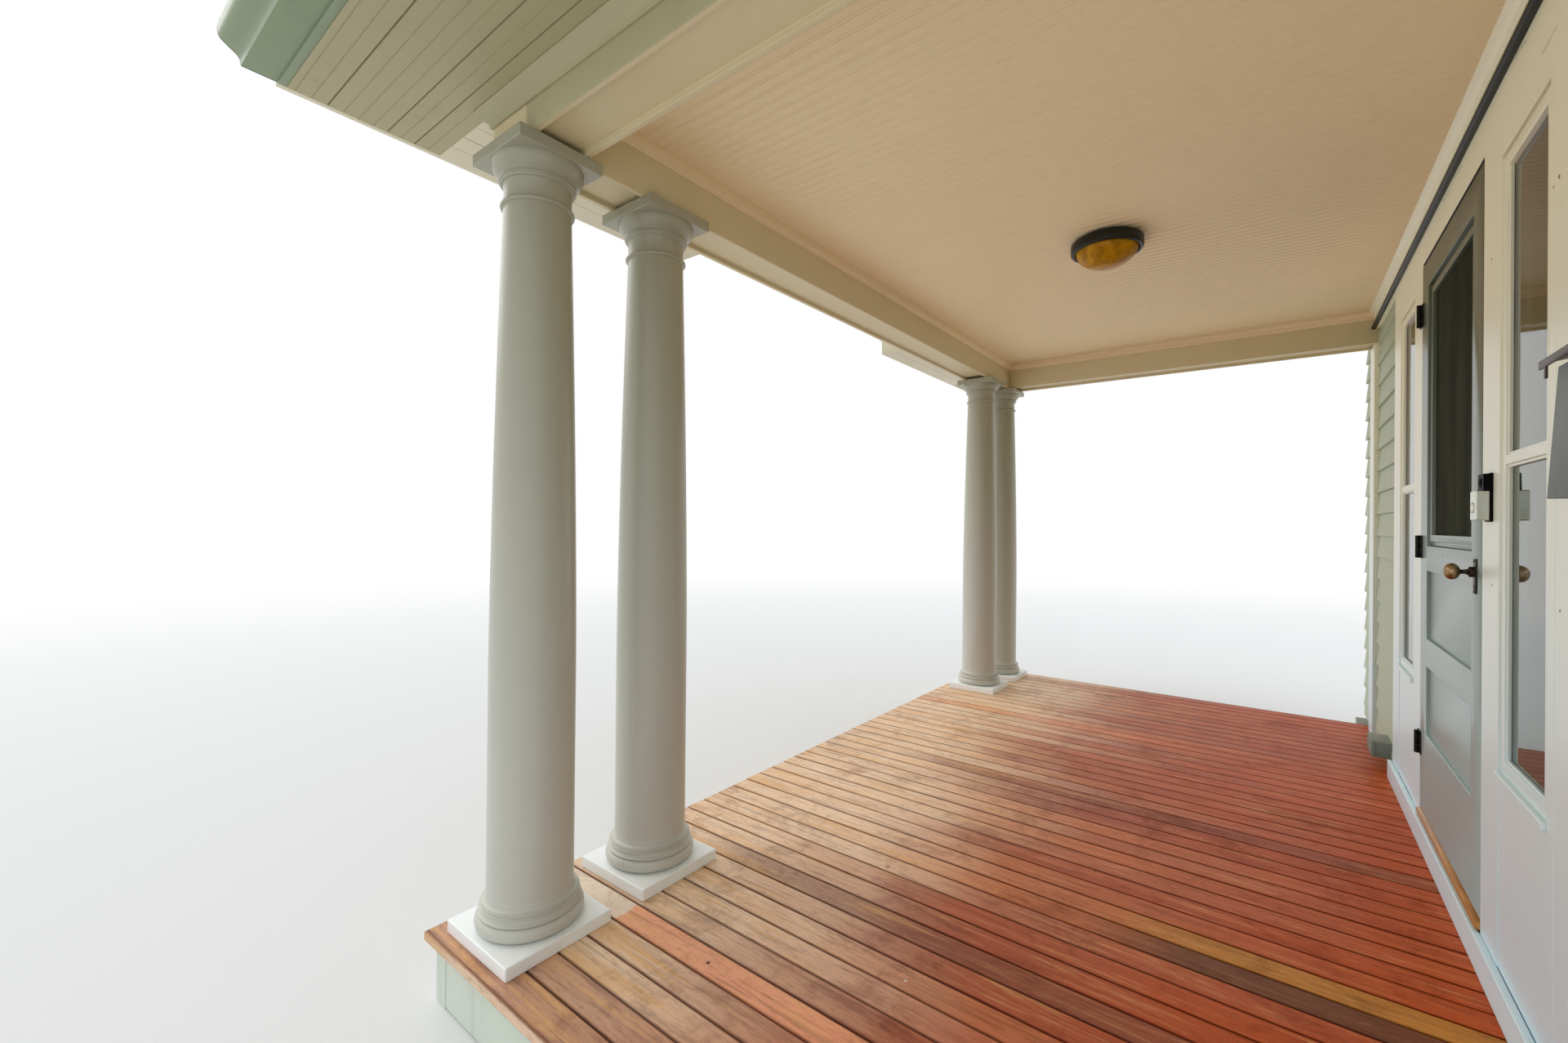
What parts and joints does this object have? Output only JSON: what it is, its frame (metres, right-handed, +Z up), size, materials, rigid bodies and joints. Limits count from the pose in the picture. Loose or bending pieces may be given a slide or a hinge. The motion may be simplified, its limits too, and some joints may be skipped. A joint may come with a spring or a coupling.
{
  "type": "front porch",
  "caption": "Front porch with paired round columns, boxed beams, boarded ceiling and gable roof before an entrance wall with sidelights and a screen door.",
  "frame": {"origin": "on the ground under the middle of the entrance door, in the plane of the white boards round the door", "axes": "+X along the house wall to the right seen from the house, +Y into the house, +Z up"},
  "size_m": [5.304, 2.838, 4.005],
  "materials": {
    "deck_wood": "oiled hardwood, worn pale near the front edge",
    "frame_wood": "plain sawn timber, hidden or on cut faces",
    "skirt_paint": "painted boards, very pale grey-green",
    "masonry": "plain masonry",
    "column_paint": "smooth white paint",
    "cream_paint": "warm cream paint",
    "soffit_paint": "warm cream paint on narrow boards",
    "sage_paint": "sage green paint",
    "gutter_metal": "sage green coated sheet",
    "roof_covering": "dark grey roof shingles",
    "siding_paint": "pale sage paint on lap boards",
    "box_paint": "dark grey-green paint",
    "white_paint": "white satin paint",
    "rail_metal": "dark bronze coating",
    "sill_wood": "clear-coated hardwood",
    "dark_paint": "dark paint",
    "window_glass": "clear",
    "shade_cloth": "plain weave",
    "door_paint": "grey-green satin paint",
    "screen_cloth": "fine dark mesh",
    "black_iron": "black paint",
    "old_bronze": "aged and rubbed",
    "bell_black": "gloss black",
    "satin_nickel": "satin",
    "mailbox_paint": "grey-green, matt",
    "lid_paint": "dark, matt",
    "dark_bronze": "dark bronze",
    "amber_glass": "amber, frosted"
  },
  "bodies": {
    "porch": {"deck_boards": "deck_wood", "deck_frame": "frame_wood", "skirt_front": "skirt_paint", "skirt_sides": "skirt_paint", "foundation": "masonry", "column_plinths": "column_paint", "column_bases": "column_paint", "column_shafts": "column_paint", "column_capitals": "column_paint", "front_beam": "cream_paint", "side_beams": "cream_paint", "bed_mouldings": "cream_paint", "crown_moulding": "cream_paint", "ceiling": "cream_paint", "soffit_front": "soffit_paint", "soffit_sides": "soffit_paint", "side_fascias": "sage_paint", "front_cornice": "soffit_paint", "pediment_apron": "roof_covering", "pediment_panel": "cream_paint", "rake_boards": "soffit_paint", "roof_near": "roof_covering", "roof_far": "roof_covering", "ridge_cap": "roof_covering", "gutters": "gutter_metal", "side_walls": "frame_wood", "wall_posts": "frame_wood", "wall_at_sidelights": "frame_wood", "wall_over_door": "frame_wood", "wall_gable": "frame_wood", "siding": "siding_paint", "wall_box": "box_paint", "pilasters": "white_paint", "casing_boards": "white_paint", "sidelight_panels": "white_paint", "head_casing": "white_paint", "wall_rail": "rail_metal", "base_board": "white_paint", "door_sill": "sill_wood", "door_frame": "white_paint", "inner_door": "dark_paint", "sidelight_sashes": "white_paint", "sidelight_glass": "window_glass", "sidelight_sills": "white_paint", "roller_shades": "shade_cloth", "hinge_jamb_plates": "black_iron", "doorbell_back": "bell_black", "doorbell_cover": "satin_nickel", "mailbox_body": "mailbox_paint", "light_ring": "dark_bronze", "light_dome": "amber_glass"},
    "screen_door": {"door_leaf": "door_paint", "door_panels": "door_paint", "screen_frame": "door_paint", "screen_mesh": "screen_cloth", "hinge_leaf_plates": "black_iron", "handle_plate": "old_bronze", "ball_knob": "old_bronze"},
    "mailbox_flap": {"mailbox_lid": "lid_paint"}
  },
  "joints": [
    {"name": "screen_door_hinge", "type": "hinge", "parent": "porch", "child": "screen_door", "pos_m": [-0.46, -0.009, 1.38], "axis": [0, 0, -1], "range_deg": [0, 110]},
    {"name": "mailbox_lid_hinge", "type": "hinge", "parent": "porch", "child": "mailbox_flap", "pos_m": [1.555, 0.004, 1.699], "axis": [-1, 0, 0], "range_deg": [0, 80]}
  ]
}
